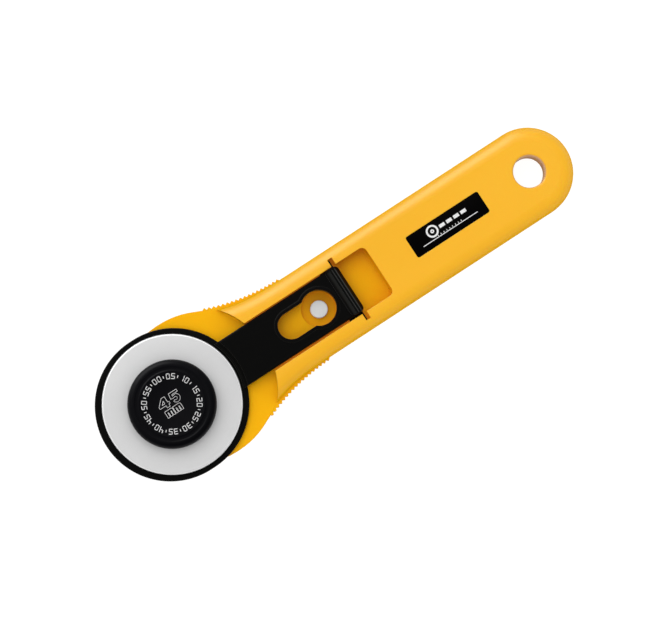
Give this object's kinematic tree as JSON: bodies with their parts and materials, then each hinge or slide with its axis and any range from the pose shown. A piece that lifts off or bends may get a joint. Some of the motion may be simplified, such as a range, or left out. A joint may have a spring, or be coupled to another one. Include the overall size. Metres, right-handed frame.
{
  "type": "rotary cutter",
  "caption": "Rotary cutter with a flat straight handle, a round blade held by a disc-shaped plastic nut, and a sliding blade guard with a keyhole arm and thumb rib.",
  "frame": {"origin": "under the middle of the whole cutter, on the flat back of the handle", "axes": "+X along the handle from the blade to the hanging hole, +Y across, +Z out of the front face with the blade and nut"},
  "size_m": [0.1754, 0.0482, 0.0129],
  "materials": {
    "yellow_plastic": "fine satin moulded plastic",
    "yellow_back_plastic": "fine satin moulded plastic",
    "rivet_steel": "pressed steel",
    "plate_plastic": "printed plate, satin",
    "guard_plastic": "satin black moulded plastic",
    "blade_steel": "ground tool steel",
    "spring_steel": "rolled spring steel",
    "bolt_steel": "plated steel",
    "insert_steel": "turned steel",
    "nut_plastic": "satin black moulded plastic"
  },
  "bodies": {
    "handle": {"handle_body": "yellow_plastic", "handle_back_cover": "yellow_back_plastic", "handle_rivet": "rivet_steel", "name_plate": "plate_plastic", "pivot_bolt": "bolt_steel"},
    "guard": {"blade_guard": "guard_plastic"},
    "blade": {"blade": "blade_steel"},
    "washer": {"spring_washer": "spring_steel"},
    "nut": {"nut_knob": "nut_plastic", "nut_insert": "insert_steel"}
  },
  "joints": [
    {"name": "guard_slide", "type": "slide", "parent": "handle", "child": "guard", "axis": [1, 0, 0], "range_m": [0, 0.0095]},
    {"name": "blade_spin", "type": "hinge", "parent": "handle", "child": "blade", "pos_m": [-0.06285, 0, 0.00745], "axis": [0, 0, 1], "continuous": true},
    {"name": "nut_lift", "type": "slide", "parent": "handle", "child": "washer", "axis": [0, 0, 1], "range_m": [0, 0.002]},
    {"name": "nut_turn", "type": "hinge", "parent": "washer", "child": "nut", "pos_m": [-0.06285, 0, 0.0104], "axis": [0, 0, 1], "range_deg": [0, 720]}
  ],
  "couplings": [
    {"joint": "nut_lift", "follows": "nut_turn", "m_per_rad": 0.00015915}
  ]
}
